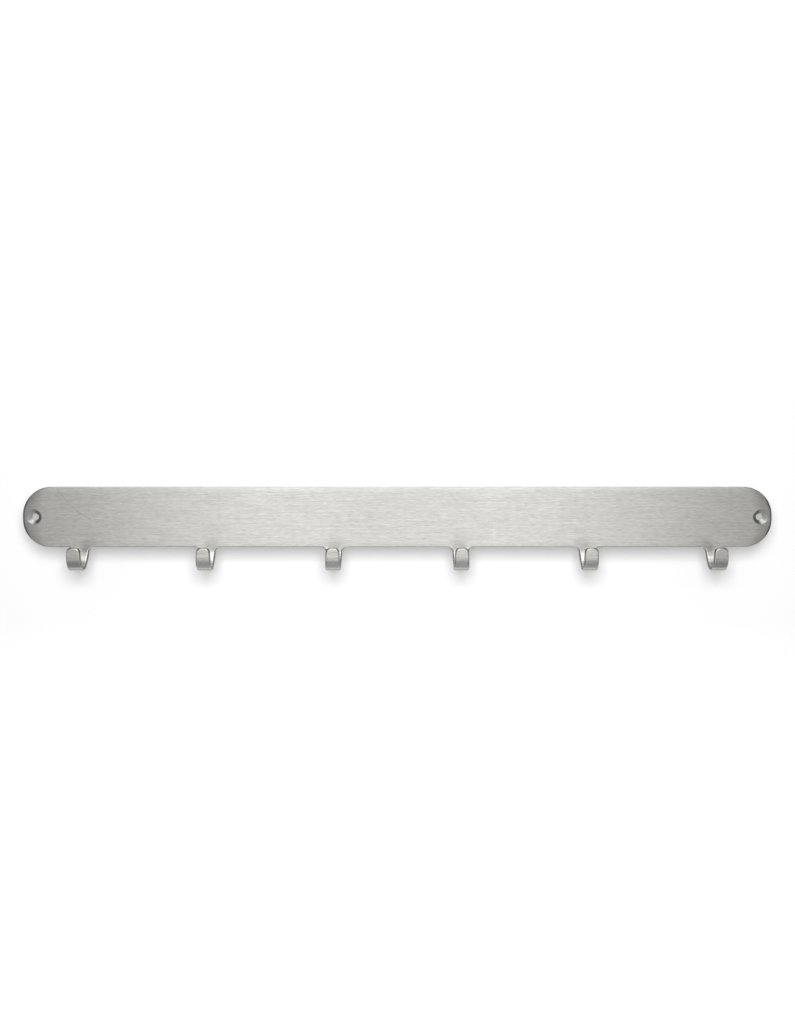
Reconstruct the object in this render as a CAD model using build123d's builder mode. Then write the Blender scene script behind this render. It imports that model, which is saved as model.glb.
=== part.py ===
from build123d import *
import os

# A utensil rack in one piece of brushed stainless sheet: a flat strip with rounded ends
# that screws to the wall, and a row of tongues along its lower edge, each rolled forward
# and up into a J hook. The origin is on the back face, midway between the two screw
# holes. X runs along the strip, Z is up, and the hooks face -Y.

# Sheet
sheet = 2.0
edge_round = 0.8

# Strip
plate_length = 400.0
plate_height = 32.3
corner_radius = 15.0

# Hooks: the margin runs from the strip's end to the middle of the first one. The shank,
# the back, the tighter bottom, the front and the nose follow each other from the strip's
# lower edge to the tip, and the nose leans out a little to open the throat. The three
# radii are those of the line through the middle of the sheet. The tongue narrows from the
# root to the bottom, which has the hook's width, and again from there to the tip
hook_count = 6
hook_margin = 31.0
root_width = 8.9
hook_width = 8.0
tip_width = 7.0
side_radius = 15.0
hook_shank = 0.5
back_radius = 13.5
back_angle = 45.0
bottom_radius = 3.4
front_radius = 8.4
front_angle = 40.0
nose_lean = 5.0
hook_nose = 5.05
root_radius = 3.0
tip_radius = 2.7

# Countersunk screw holes
hole_count = 2
hole_inset = 6.3
hole_diameter = 3.6
countersink_diameter = 7.4
countersink_angle = 100.0
rim_round = 0.5

# A round takes at most this share of the wall that it is on
round_limit = 0.48

# Worked out from the driving dimensions
end_radius = min(corner_radius, round_limit * plate_height)
nose_radius = min(tip_radius, round_limit * tip_width)
edge_radius = min(edge_round, round_limit * sheet)
hook_pitch = (plate_length - 2 * hook_margin) / (hook_count - 1)
hole_spacing = plate_length - 2 * hole_inset
upper_edge = plate_height / 2
lower_edge = -plate_height / 2
straight_half = plate_length / 2 - end_radius
shank_end = lower_edge - hook_shank
fall_angle = 90 - back_angle
rise_angle = 90 - front_angle - nose_lean

# The sheet's section, as the line through the middle of it: down the strip and the back
# of a hook to its lowest point, then up the front to the tip
strip_line = Line((-sheet / 2, upper_edge), (-sheet / 2, shank_end))
back_arc = JernArc(strip_line @ 1, (0, -1), back_radius, -back_angle)
fall_arc = JernArc(back_arc @ 1, back_arc % 1, bottom_radius, -fall_angle)
rise_arc = JernArc(fall_arc @ 1, fall_arc % 1, bottom_radius, -rise_angle)
front_arc = JernArc(rise_arc @ 1, rise_arc % 1, front_radius, -front_angle)
nose_line = PolarLine(front_arc @ 1, hook_nose, direction=front_arc % 1)
lowest = (fall_arc @ 1).Y - sheet / 2
tip_level = (nose_line @ 1).Y
reach = 2 * sheet - (nose_line @ 1).X

# Seen from the front, the sides of a hook run straight up past the bottom of its bend
# and turn from there into the tapers of the back and the nose. The nose's taper is drawn
# a little past the tip
widest = max(root_width, hook_width, tip_width)
turn_level = lowest + sheet + bottom_radius / 4
nose_taper = (hook_width - tip_width) / (tip_level - turn_level)
nose_end = tip_level + sheet
nose_end_width = tip_width - nose_taper * sheet

# The front half of one hook, with a rounded tip
with BuildPart() as hook_front:
    with BuildSketch(Plane.YZ):
        with BuildLine():
            add([rise_arc, front_arc, nose_line])
        trace(line_width=sheet)
    extrude(amount=widest / 2, both=True)
    with BuildSketch(Plane.XZ) as nose_outline:
        with BuildLine():
            Polyline(
                (-hook_width / 2, lowest),
                (-hook_width / 2, turn_level),
                (-nose_end_width / 2, nose_end),
                (nose_end_width / 2, nose_end),
                (hook_width / 2, turn_level),
                (hook_width / 2, lowest),
                close=True,
            )
        make_face()
        nose_turns = nose_outline.vertices().filter_by_position(Axis.Y, turn_level, turn_level)
        fillet(nose_turns, side_radius)
    extrude(amount=reach, mode=Mode.INTERSECT)
    tip_face = hook_front.faces().sort_by(Axis.Z)[-1]
    tip_corners = tip_face.edges().group_by(SortBy.LENGTH)[0]
    fillet(tip_corners, nose_radius)

# The back half's outline, from the strip's lower edge down
with BuildSketch() as tongue:
    with BuildLine():
        Polyline(
            (-root_width / 2, lower_edge),
            (-hook_width / 2, turn_level),
            (-hook_width / 2, lowest),
            (hook_width / 2, lowest),
            (hook_width / 2, turn_level),
            (root_width / 2, lower_edge),
            close=True,
        )
    make_face()
    tongue_turns = tongue.vertices().filter_by_position(Axis.Y, turn_level, turn_level)
    fillet(tongue_turns, side_radius)

with BuildPart() as hook_rack:
    # The strip and the back halves of the hooks, rolled as one length of sheet
    with BuildSketch(Plane.YZ):
        with BuildLine():
            add([strip_line, back_arc, fall_arc])
        trace(line_width=sheet)
    extrude(amount=plate_length / 2, both=True)

    # Cut to the outline of the strip and its tongues, with a fillet each side of every root
    with BuildSketch(Plane.XZ) as outline:
        RectangleRounded(plate_length, plate_height, end_radius)
        with GridLocations(hook_pitch, 0, hook_count, 1):
            add(tongue.sketch)
        on_lower_edge = outline.vertices().filter_by_position(Axis.Y, lower_edge, lower_edge)
        root_corners = on_lower_edge.filter_by_position(
            Axis.X, -straight_half, straight_half, inclusive=(False, False)
        )
        fillet(root_corners, root_radius)
    extrude(amount=reach, mode=Mode.INTERSECT)

    # The front halves carry the tongues on from their lowest point
    with GridLocations(hook_pitch, 0, hook_count, 1):
        add(hook_front.part)

    # Every edge softened: the outline has no corner, so the round on each of the two
    # long top edges runs on round the ends, the roots and the hooks
    long_edges = hook_rack.edges().group_by(SortBy.LENGTH)[-1]
    fillet(long_edges, edge_radius)

    # Screw holes, countersunk from the front, with a soft rim
    with Locations(Plane.XZ.offset(sheet)):
        with GridLocations(hole_spacing, 0, hole_count, 1):
            CounterSinkHole(
                hole_diameter / 2,
                countersink_diameter / 2,
                counter_sink_angle=countersink_angle,
            )
    rims = hook_rack.edges(Select.LAST).group_by(Axis.Y)[0]
    fillet(rims, rim_round)

hook_rack.part.label = "hook_rack"
os.makedirs("parts", exist_ok=True)
export_step(hook_rack.part, "parts/hook_rack.step")
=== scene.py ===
import bpy
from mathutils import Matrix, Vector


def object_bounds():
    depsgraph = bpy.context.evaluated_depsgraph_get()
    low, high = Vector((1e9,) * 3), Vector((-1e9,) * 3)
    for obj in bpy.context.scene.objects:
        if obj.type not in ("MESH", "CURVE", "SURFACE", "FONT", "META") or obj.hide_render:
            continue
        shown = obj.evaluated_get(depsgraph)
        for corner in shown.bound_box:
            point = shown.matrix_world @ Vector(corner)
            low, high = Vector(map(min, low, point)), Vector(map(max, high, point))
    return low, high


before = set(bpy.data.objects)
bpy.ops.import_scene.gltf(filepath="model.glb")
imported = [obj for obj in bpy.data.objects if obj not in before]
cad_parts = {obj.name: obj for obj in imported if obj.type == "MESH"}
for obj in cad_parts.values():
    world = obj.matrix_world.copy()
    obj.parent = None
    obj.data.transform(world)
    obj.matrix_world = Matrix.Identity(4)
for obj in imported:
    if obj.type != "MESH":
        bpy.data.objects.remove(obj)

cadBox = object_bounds()
scene = bpy.context.scene
bpy.ops.object.select_all(action="DESELECT")
print("frame loaded:", sorted(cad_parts))

quarterTurn = 1.5707963


# small helpers for node work
def addNode(tree, kind, spot, **settings):
    node = tree.nodes.new(kind)
    node.location = spot
    for name, value in settings.items():
        setattr(node, name, value)
    return node


def mathNode(tree, operation, spot, first, second):
    node = addNode(tree, "ShaderNodeMath", spot, operation=operation)
    for socket, value in zip(node.inputs, (first, second)):
        if isinstance(value, (int, float)):
            socket.default_value = value
        else:
            tree.links.new(value, socket)
    return node.outputs["Value"]


def rangeNode(tree, spot, value, low, high, toLow, toHigh):
    node = addNode(tree, "ShaderNodeMapRange", spot)
    tree.links.new(value, node.inputs["Value"])
    for name, number in zip(("From Min", "From Max", "To Min", "To Max"), (low, high, toLow, toHigh)):
        node.inputs[name].default_value = number
    return node.outputs["Result"]


def blendNode(tree, spot, share, first, second):
    node = addNode(tree, "ShaderNodeMix", spot)
    for name, value in zip(("Factor", "A", "B"), (share, first, second)):
        tree.links.new(value, node.inputs[name])
    return node.outputs["Result"]


def setStops(ramp, stops):
    while len(ramp.elements) > 1:
        ramp.elements.remove(ramp.elements[-1])
    for count, (place, level) in enumerate(stops):
        stop = ramp.elements.new(place) if count else ramp.elements[0]
        stop.position = place
        stop.color = (level, level, level, 1)


# brushed stainless sheet, the grain along the strip
brushedSheet = {
    "steel": (0.693, 0.688, 0.658),
    "roughness": 0.39,                   # on the brushed face of the strip
    "hookRoughness": 0.18,               # on the hooks, rubbed smoother when they were rolled
    "roughnessSpread": 0.02,
    "grain": 1.0,                        # how much the grain stretches the reflections
    "hairLines": (300.0, 2600.0, 2600.0),    # short hair lines per metre along and across the grain
    "longLines": (45.0, 1100.0, 1100.0),     # long soft ones under them
    "hairDepth": 0.16,                   # how much lighter and darker the lines are
    "longDepth": 0.07,
    "hairLevels": (0.25, 0.75),          # the noise levels of a full dark and a full light line
    "longLevels": (0.3, 0.7),
    "lineRoughness": 0.6,                # how ragged the lines are
    "lineDetail": 2.0,
    "cutSideDullAndShade": 0.38,                     # the cut sides of the hooks are duller than the face, and darker still as painted shade for the dark they reflect
    "endRimShade": 0.36,                      # painted shade on the rim of each rounded end, for the dark it reflects
    "sinkMidSideShade": 0.28,                 # painted shade on the countersinks' side towards the strip's middle
    "noseInsideShade": 0.36,                  # painted shade inside each nose
    "hookUnderShade": 0.45,                   # painted shade on the underside of each hook
    "tipEndShade": 0.48,                      # painted shade on the cut end of each nose, where it faces up
    # how far a surface has turned where each of these starts and where it is full
    "sideTurn": (0.35, 0.8),
    "sinkTurn": (-0.15, 0.3),
    "insideTurn": (0.1, 0.5),
    "underTurn": (-0.88, -0.62),
    "tipTurn": (0.12, 0.4),
    "rimStart": 0.0013,                  # how far in from the end's edge the painted rim shade starts
    "rimFull": 0.0006,                   # and where it is full
    "frontStart": -0.0002,               # what lies in front of the back face
    "hookStart": -0.004,                 # what lies in front of the strip
    "tipStart": -0.0095,                 # and the tips of the noses
    "rolledBand": (-0.018, -0.0155),     # the heights between which the brushed face passes into the hooks
    "topRoll": (0.0030, 0.22),           # tumbling has rolled the face off at the top edge: how far in, how steep
    "endRoll": (0.0100, 0.06),           # and more gently at the ends
    "lowRoll": (0.0035, 0.05),           # and along the lower edge
    "endTurn": 0.014,                    # the length over which the roll at the ends sets in
    "holeInset": 0.0063,                 # the countersinks are turned, so their grain runs round
    "holeReach": 0.0041,
}

# one painted reflection near the left end: a thin dark line on a shallow curve down from the top edge
paintedReflectionLine = {
    "start": -0.1635,                    # its lower end, along the strip and up it
    "height": -0.00095,
    "slope": -0.3356,                    # there, and how it bends from there to the left
    "curve": 30.8,
    "length": 0.0186,                    # along the strip
    "halfWidth": 0.0007,
    "shade": 0.20,
    "breaks": (0.38, 0.58),              # the grain breaks it up
    "faintest": 0.35,
}


def grainLines(tree, coords, scale, spot):
    stretch = addNode(tree, "ShaderNodeMapping", spot)
    stretch.inputs["Scale"].default_value = scale
    tree.links.new(coords, stretch.inputs["Vector"])
    lines = addNode(tree, "ShaderNodeTexNoise", (spot[0] + 200, spot[1]))
    lines.inputs["Scale"].default_value = 1.0
    lines.inputs["Detail"].default_value = brushedSheet["lineDetail"]
    lines.inputs["Roughness"].default_value = brushedSheet["lineRoughness"]
    tree.links.new(stretch.outputs["Vector"], lines.inputs["Vector"])
    return lines.outputs["Fac"]


def grainTone(tree, lines, levels, depth, spot):
    return rangeNode(tree, spot, lines, *levels, 1 - depth, 1 + depth)


# where the painted reflection line lies
def reflectionLineMark(tree, x, z):
    away = mathNode(tree, "SUBTRACT", (-1700, 900), x, paintedReflectionLine["start"])
    bow = mathNode(tree, "MULTIPLY", (-1500, 1000), away, paintedReflectionLine["curve"])
    rise = mathNode(tree, "ADD", (-1300, 1000), bow, paintedReflectionLine["slope"])
    path = mathNode(tree, "MULTIPLY", (-1100, 900), rise, away)
    line = mathNode(tree, "ADD", (-900, 900), path, paintedReflectionLine["height"])
    off = mathNode(tree, "SUBTRACT", (-700, 900), z, line)
    near = mathNode(tree, "ABSOLUTE", (-500, 900), off, 0)
    mark = rangeNode(tree, (-300, 900), near, 0.0, paintedReflectionLine["halfWidth"], 1.0, 0.0)
    before = mathNode(tree, "LESS_THAN", (-700, 1100), away, 0.0)
    after = mathNode(tree, "GREATER_THAN", (-500, 1100), away, -paintedReflectionLine["length"])
    along = mathNode(tree, "MULTIPLY", (-300, 1100), before, after)
    return mathNode(tree, "MULTIPLY", (-100, 900), mark, along)


def rollDrop(tree, reached, edge, roll, spot):
    reach, slope = roll
    past = mathNode(tree, "SUBTRACT", spot, reached, edge - reach)
    started = mathNode(tree, "MAXIMUM", (spot[0] + 200, spot[1]), past, 0.0)
    within = mathNode(tree, "MINIMUM", (spot[0] + 300, spot[1]), started, reach)
    square = mathNode(tree, "POWER", (spot[0] + 400, spot[1]), within, 2.0)
    return mathNode(tree, "MULTIPLY", (spot[0] + 600, spot[1]), square, -slope / (2 * reach))


def makeBrushedSheet():
    mat = bpy.data.materials.new("brushedSheet")
    mat.use_nodes = True
    tree = mat.node_tree
    link = tree.links.new
    steel = tree.nodes["Principled BSDF"]
    steel.inputs["Metallic"].default_value = 1.0
    steel.inputs["Anisotropic"].default_value = brushedSheet["grain"]
    steel.inputs["Anisotropic Rotation"].default_value = 0.25     # reflections stretch across the grain
    coords = addNode(tree, "ShaderNodeTexCoord", (-2200, 0)).outputs["Object"]
    place = addNode(tree, "ShaderNodeSeparateXYZ", (-2000, 700))
    link(coords, place.inputs["Vector"])
    x, z = place.outputs["X"], place.outputs["Z"]

    # grain: hair lines over long soft ones
    hair = grainLines(tree, coords, brushedSheet["hairLines"], (-1700, 0))
    soft = grainLines(tree, coords, brushedSheet["longLines"], (-1700, -300))
    hairTone = grainTone(tree, hair, brushedSheet["hairLevels"], brushedSheet["hairDepth"], (-1200, 0))
    softTone = grainTone(tree, soft, brushedSheet["longLevels"], brushedSheet["longDepth"], (-1200, -300))
    grain = mathNode(tree, "MULTIPLY", (-1000, -100), hairTone, softTone)

    # how far out on a rounded end
    half = mathNode(tree, "ABSOLUTE", (-1700, -600), x, 0)
    stripEnd, stripTop = cadBox[1][0], cadBox[1][2]
    past = mathNode(tree, "SUBTRACT", (-1700, -1000), half, stripEnd - stripTop)
    endward = mathNode(tree, "MAXIMUM", (-1500, -1000), past, 0.0)
    turned = rangeNode(tree, (-1500, -1200), endward, 0.0, brushedSheet["endTurn"], 0.0, 1.0)
    across = addNode(tree, "ShaderNodeCombineXYZ", (-1100, -1000))
    link(endward, across.inputs["X"])
    link(mathNode(tree, "MULTIPLY", (-1300, -1200), z, turned), across.inputs["Z"])
    far = addNode(tree, "ShaderNodeVectorMath", (-900, -1000), operation="LENGTH")
    link(across.outputs["Vector"], far.inputs[0])

    # how far from the middle of a countersink
    outward = mathNode(tree, "SUBTRACT", (-1500, -600), half, stripEnd - brushedSheet["holeInset"])
    hand = mathNode(tree, "SIGN", (-1500, -750), x, 0)
    fromHole = mathNode(tree, "MULTIPLY", (-1300, -700), outward, hand)
    spoke = addNode(tree, "ShaderNodeCombineXYZ", (-1100, -650))
    link(fromHole, spoke.inputs["X"])
    link(z, spoke.inputs["Z"])
    reach = addNode(tree, "ShaderNodeVectorMath", (-900, -550), operation="LENGTH")
    link(spoke.outputs["Vector"], reach.inputs[0])
    within = mathNode(tree, "LESS_THAN", (-700, -550), reach.outputs["Value"], brushedSheet["holeReach"])
    onFront = mathNode(tree, "LESS_THAN", (-700, -700), place.outputs["Y"], brushedSheet["frontStart"])
    inHole = mathNode(tree, "MULTIPLY", (-600, -600), within, onFront)

    # cut sides and painted shade: the sides of the hooks face along X, duller and with painted shade added, and the
    # countersinks face all round; the rims of the rounded ends and the countersinks' side towards the strip's
    # middle get painted shade
    facing = addNode(tree, "ShaderNodeNewGeometry", (-1700, 400))
    normal = addNode(tree, "ShaderNodeSeparateXYZ", (-1500, 400))
    link(facing.outputs["Normal"], normal.inputs["Vector"])
    sideways = mathNode(tree, "ABSOLUTE", (-1300, 400), normal.outputs["X"], 0)
    side = rangeNode(tree, (-1100, 400), sideways, *brushedSheet["sideTurn"], 1.0, brushedSheet["cutSideDullAndShade"])
    rimStart, rimFull = stripTop - brushedSheet["rimStart"], stripTop - brushedSheet["rimFull"]
    rimShade = rangeNode(tree, (-1100, 250), far.outputs["Value"], rimStart, rimFull, 1.0, brushedSheet["endRimShade"])
    edge = mathNode(tree, "MULTIPLY", (-1000, 300), side, rimShade)
    middleWards = mathNode(tree, "MULTIPLY", (-1300, 150), normal.outputs["X"], hand)
    sinkShade = rangeNode(tree, (-1100, 100), middleWards, *brushedSheet["sinkTurn"], 1.0, brushedSheet["sinkMidSideShade"])
    cutDullAndShade = blendNode(tree, (-900, 450), inHole, edge, sinkShade)

    # painted shade on the hooks: inside, underneath and at the tip
    towardsWall = rangeNode(tree, (-1300, 600), normal.outputs["Y"], *brushedSheet["insideTurn"], 0.0, 1.0)
    onNose = mathNode(tree, "LESS_THAN", (-1300, 750), place.outputs["Y"], brushedSheet["hookStart"])
    inside = mathNode(tree, "MULTIPLY", (-1100, 650), towardsWall, onNose)
    insideShade = rangeNode(tree, (-900, 600), inside, 0.0, 1.0, 1.0, brushedSheet["noseInsideShade"])
    downwards = rangeNode(tree, (-1300, 900), normal.outputs["Z"], *brushedSheet["underTurn"], 1.0, 0.0)
    below = mathNode(tree, "MULTIPLY", (-1100, 850), downwards, onNose)
    shaded = rangeNode(tree, (-900, 800), below, 0.0, 1.0, 1.0, brushedSheet["hookUnderShade"])
    # the grain with the edge and underside painted shade
    grainAndEdgeShade = mathNode(tree, "MULTIPLY", (-800, 300), mathNode(tree, "MULTIPLY", (-900, 300), grain, cutDullAndShade), shaded)
    upwards = rangeNode(tree, (-1300, 1100), normal.outputs["Z"], *brushedSheet["tipTurn"], 0.0, 1.0)
    atTip = mathNode(tree, "LESS_THAN", (-1300, 1250), place.outputs["Y"], brushedSheet["tipStart"])
    endOn = mathNode(tree, "MULTIPLY", (-1100, 1100), upwards, atTip)
    tipShade = rangeNode(tree, (-900, 1000), endOn, 0.0, 1.0, 1.0, brushedSheet["tipEndShade"])
    # the grain with all the painted shade on the strip and hooks
    dressed = mathNode(tree, "MULTIPLY", (-800, 100), mathNode(tree, "MULTIPLY", (-850, 200), grainAndEdgeShade, tipShade), insideShade)

    # the painted reflection line, on the front only
    broken = rangeNode(tree, (-600, 700), soft, *paintedReflectionLine["breaks"], paintedReflectionLine["faintest"], 1.0)
    brokenMark = mathNode(tree, "MULTIPLY", (-500, 600), reflectionLineMark(tree, x, z), broken)
    reflectionOnFront = mathNode(tree, "MULTIPLY", (-450, 700), brokenMark, onFront)
    reflectionLineTone = rangeNode(tree, (-600, 500), reflectionOnFront, 0.0, 1.0, 1.0, 1.0 - paintedReflectionLine["shade"])
    toned = mathNode(tree, "MULTIPLY", (-400, 200), dressed, reflectionLineTone)
    tint = addNode(tree, "ShaderNodeVectorMath", (-200, 200), operation="SCALE")
    tint.inputs["Vector"].default_value = brushedSheet["steel"]
    link(toned, tint.inputs["Scale"])
    link(tint.outputs["Vector"], steel.inputs["Base Color"])

    # smoother on the hooks, and a little uneven with the hair lines
    spread = brushedSheet["roughnessSpread"]
    onHook, onStrip = brushedSheet["hookRoughness"], brushedSheet["roughness"]
    even = rangeNode(tree, (-800, -100), z, *brushedSheet["rolledBand"], onHook, onStrip)
    uneven = rangeNode(tree, (-800, -300), hair, *brushedSheet["hairLevels"], spread, -spread)
    link(mathNode(tree, "ADD", (-500, -150), even, uneven), steel.inputs["Roughness"])

    # the face rolled off towards the top and lower edges and round the ends
    ends = rollDrop(tree, far.outputs["Value"], stripTop, brushedSheet["endRoll"], (-700, -1000))
    top = rollDrop(tree, z, stripTop, brushedSheet["topRoll"], (-700, -1200))
    lower = mathNode(tree, "MULTIPLY", (-900, -1400), z, -1.0)
    low = rollDrop(tree, lower, stripTop, brushedSheet["lowRoll"], (-700, -1400))
    edges = mathNode(tree, "ADD", (50, -1000), ends, top)
    roll = addNode(tree, "ShaderNodeBump", (200, -900))
    roll.inputs["Distance"].default_value = 1.0
    link(mathNode(tree, "ADD", (50, -1200), edges, low), roll.inputs["Height"])
    link(roll.outputs["Normal"], steel.inputs["Normal"])

    # grain direction: along X, and round the countersinks
    ringwise = addNode(tree, "ShaderNodeVectorMath", (-900, -750), operation="CROSS_PRODUCT")
    link(spoke.outputs["Vector"], ringwise.inputs[0])
    ringwise.inputs[1].default_value = (0, 1, 0)
    pick = addNode(tree, "ShaderNodeMix", (-500, -600), data_type="VECTOR")
    link(inHole, pick.inputs["Factor"])
    pick.inputs["A"].default_value = (1, 0, 0)
    link(ringwise.outputs["Vector"], pick.inputs["B"])
    link(pick.outputs["Result"], steel.inputs["Tangent"])
    return mat


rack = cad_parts["hook_rack"]
rack.material_slots[0].material = makeBrushedSheet()
print("rack dressed in brushed steel")


# white wall close behind the rack, which takes its shadow from a lamp of its own
backdrop = {
    "gap": 0.03,                         # from the back of the rack
    "size": 6.0,
    "paint": 0.2,
    "glow": 0.33,                        # what it adds to the lamp's light
    "farGlow": 0.66,                     # the wall is evened out where its lamp reaches less
    "evenOut": (0.06, 0.25),             # between these heights
    "lampPlace": (0.0, -0.48, 0.066),
    "lampSize": (0.15, 0.16),
    "lampLevel": 31.5,
}


def makeWallPaint():
    mat = bpy.data.materials.new("wallPaint")
    mat.use_nodes = True
    tree = mat.node_tree
    link = tree.links.new
    tree.nodes.clear()
    paint = addNode(tree, "ShaderNodeBsdfDiffuse", (-200, 100))
    paint.inputs["Color"].default_value = (*(backdrop["paint"],) * 3, 1)
    coords = addNode(tree, "ShaderNodeTexCoord", (-1100, 0))
    place = addNode(tree, "ShaderNodeSeparateXYZ", (-900, 0))
    link(coords.outputs["Object"], place.inputs["Vector"])
    height = mathNode(tree, "ABSOLUTE", (-800, 0), place.outputs["Z"], 0)
    shine = rangeNode(tree, (-650, 0), height, *backdrop["evenOut"], backdrop["glow"], backdrop["farGlow"])
    path = addNode(tree, "ShaderNodeLightPath", (-1100, -300))
    seen = mathNode(tree, "MAXIMUM", (-900, -300), path.outputs["Is Camera Ray"], path.outputs["Is Glossy Ray"])
    shown = mathNode(tree, "MAXIMUM", (-700, -300), seen, path.outputs["Is Transmission Ray"])
    glow = addNode(tree, "ShaderNodeEmission", (-200, -100))
    link(mathNode(tree, "MULTIPLY", (-450, -100), shine, shown), glow.inputs["Strength"])
    both = addNode(tree, "ShaderNodeAddShader", (0, 0))
    link(paint.outputs["BSDF"], both.inputs[0])
    link(glow.outputs["Emission"], both.inputs[1])
    side = addNode(tree, "ShaderNodeNewGeometry", (0, 300))
    clear = addNode(tree, "ShaderNodeBsdfTransparent", (0, -200))
    pick = addNode(tree, "ShaderNodeMixShader", (300, 0))        # the back of the wall is not there
    link(side.outputs["Backfacing"], pick.inputs["Fac"])
    link(both.outputs["Shader"], pick.inputs[1])
    link(clear.outputs["BSDF"], pick.inputs[2])
    out = addNode(tree, "ShaderNodeOutputMaterial", (600, 0))
    link(pick.outputs["Shader"], out.inputs["Surface"])
    return mat


def makeBackdrop():
    bpy.ops.mesh.primitive_plane_add(size=backdrop["size"], location=(0, 0, 0))
    wall = bpy.context.object
    wall.name = "backdrop"
    bpy.ops.transform.rotate(value=-quarterTurn, orient_axis="X", center_override=(0, 0, 0))
    bpy.ops.transform.translate(value=(0, backdrop["gap"], 0))
    bpy.ops.object.transform_apply(location=True, rotation=True, scale=True)
    wall.data.materials.append(makeWallPaint())
    return wall


def makeWallLamp(wall):
    lampData = bpy.data.lights.new("wallLamp", "AREA")
    lampData.shape = "RECTANGLE"
    lampData.size, lampData.size_y = backdrop["lampSize"]
    lampData.energy = backdrop["lampLevel"]
    lampData.use_nodes = True
    tree = lampData.node_tree
    even = addNode(tree, "ShaderNodeLightFalloff", (-200, 0))     # as strong far off as close by
    even.inputs["Strength"].default_value = 1.0
    tree.links.new(even.outputs["Constant"], tree.nodes["Emission"].inputs["Strength"])
    lamp = bpy.data.objects.new("wallLamp", lampData)
    scene.collection.objects.link(lamp)
    lamp.location = backdrop["lampPlace"]
    lamp.rotation_euler = (quarterTurn, 0, 0)
    lamp.visible_camera = False
    onlyWall = bpy.data.collections.new("wallOnly")      # it lights the wall and not the rack
    onlyWall.objects.link(wall)
    lamp.light_linking.receiver_collection = onlyWall


makeWallLamp(makeBackdrop())
print("backdrop up")


# studio round the rack: an even room with dark sides, a soft box of light above the camera and a high fill
# at each side. Heights run from straight down, 0, to straight up, 1, and across from the middle, 0, to the sides, 1
studio = {
    "roomHeight": [(0.0, 0.38), (0.08, 0.36), (0.18, 0.39), (0.25, 0.63), (0.31, 0.82), (0.41, 0.80), (0.5, 0.74),
                   (0.63, 0.56), (0.82, 0.50), (0.92, 0.42), (0.96, 0.25), (1.0, 0.25)],
    "roomAcross": [(0.0, 1.0), (0.15, 0.98), (0.23, 0.92), (0.345, 0.66), (0.40, 0.72), (0.45, 0.66), (0.52, 0.50),
                   (0.62, 0.42), (0.75, 0.6), (1.0, 0.65)],
    "boxHeight": [(0.44, 0.0), (0.5, 0.18), (0.56, 0.48), (0.60, 1.0), (0.66, 1.25), (0.75, 1.2), (0.88, 1.46),
                  (0.90, 1.40), (0.92, 0.8), (0.945, 0.4), (0.975, 0.3), (1.0, 0.25)],
    "boxAcross": [(0.0, 1.13), (0.06, 1.22), (0.124, 1.58), (0.15, 1.50), (0.19, 1.22), (0.254, 0.99),
                  (0.296, 0.86), (0.334, 0.28), (0.358, 0.17), (0.4, 0.08), (0.45, 0.0)],
    "fillHeight": [(0.42, 0.0), (0.5, 0.08), (0.66, 0.10), (0.78, 0.4), (0.83, 0.85), (0.88, 0.9), (0.905, 0.4),
                   (0.93, 0.0)],
    "fillAcross": [(0.26, 0.0), (0.33, 1.0), (0.40, 1.0), (0.46, 0.0)],
}


def makeStudio():
    world = bpy.data.worlds.new("studio")
    scene.world = world
    world.use_nodes = True
    tree = world.node_tree
    link = tree.links.new
    tree.nodes.clear()
    coords = addNode(tree, "ShaderNodeTexCoord", (-1100, 0))
    parts = addNode(tree, "ShaderNodeSeparateXYZ", (-900, 0))
    link(coords.outputs["Generated"], parts.inputs["Vector"])
    aside = mathNode(tree, "ABSOLUTE", (-700, 200), parts.outputs["X"], 0)
    lift = rangeNode(tree, (-700, -100), parts.outputs["Z"], -1.0, 1.0, 0.0, 1.0)

    def glowOf(name, spot):
        levels = []
        for value, stops, step in ((aside, name + "Across", 0), (lift, name + "Height", -250)):
            ramp = addNode(tree, "ShaderNodeValToRGB", (spot[0], spot[1] + step))
            setStops(ramp.color_ramp, studio[stops])
            link(value, ramp.inputs["Fac"])
            levels.append(ramp.outputs["Color"])
        return mathNode(tree, "MULTIPLY", (spot[0] + 300, spot[1]), *levels)

    room = glowOf("room", (-400, 600))
    box = glowOf("box", (-400, 50))
    fill = glowOf("fill", (-400, -500))
    level = mathNode(tree, "ADD", (200, 0), mathNode(tree, "ADD", (50, 200), room, box), fill)
    lit = addNode(tree, "ShaderNodeBackground", (400, 100))
    link(level, lit.inputs["Color"])
    out = addNode(tree, "ShaderNodeOutputWorld", (650, 0))
    link(lit.outputs["Background"], out.inputs["Surface"])


makeStudio()
print("studio lit")


# camera square on to the middle of the strip
shot = {
    "place": (0.0001, -0.462, 0.00262),
    "lens": 30.31,
    "sensor": 36.0,
}


def makeCamera():
    data = bpy.data.cameras.new("shot")
    camera = bpy.data.objects.new("shot", data)
    scene.collection.objects.link(camera)
    camera.location = shot["place"]
    camera.rotation_euler = (quarterTurn, 0, 0)
    data.lens = shot["lens"]
    data.sensor_width = shot["sensor"]
    data.clip_start = 0.01
    scene.camera = camera


makeCamera()
scene.view_settings.view_transform = "Standard"
print("camera set")
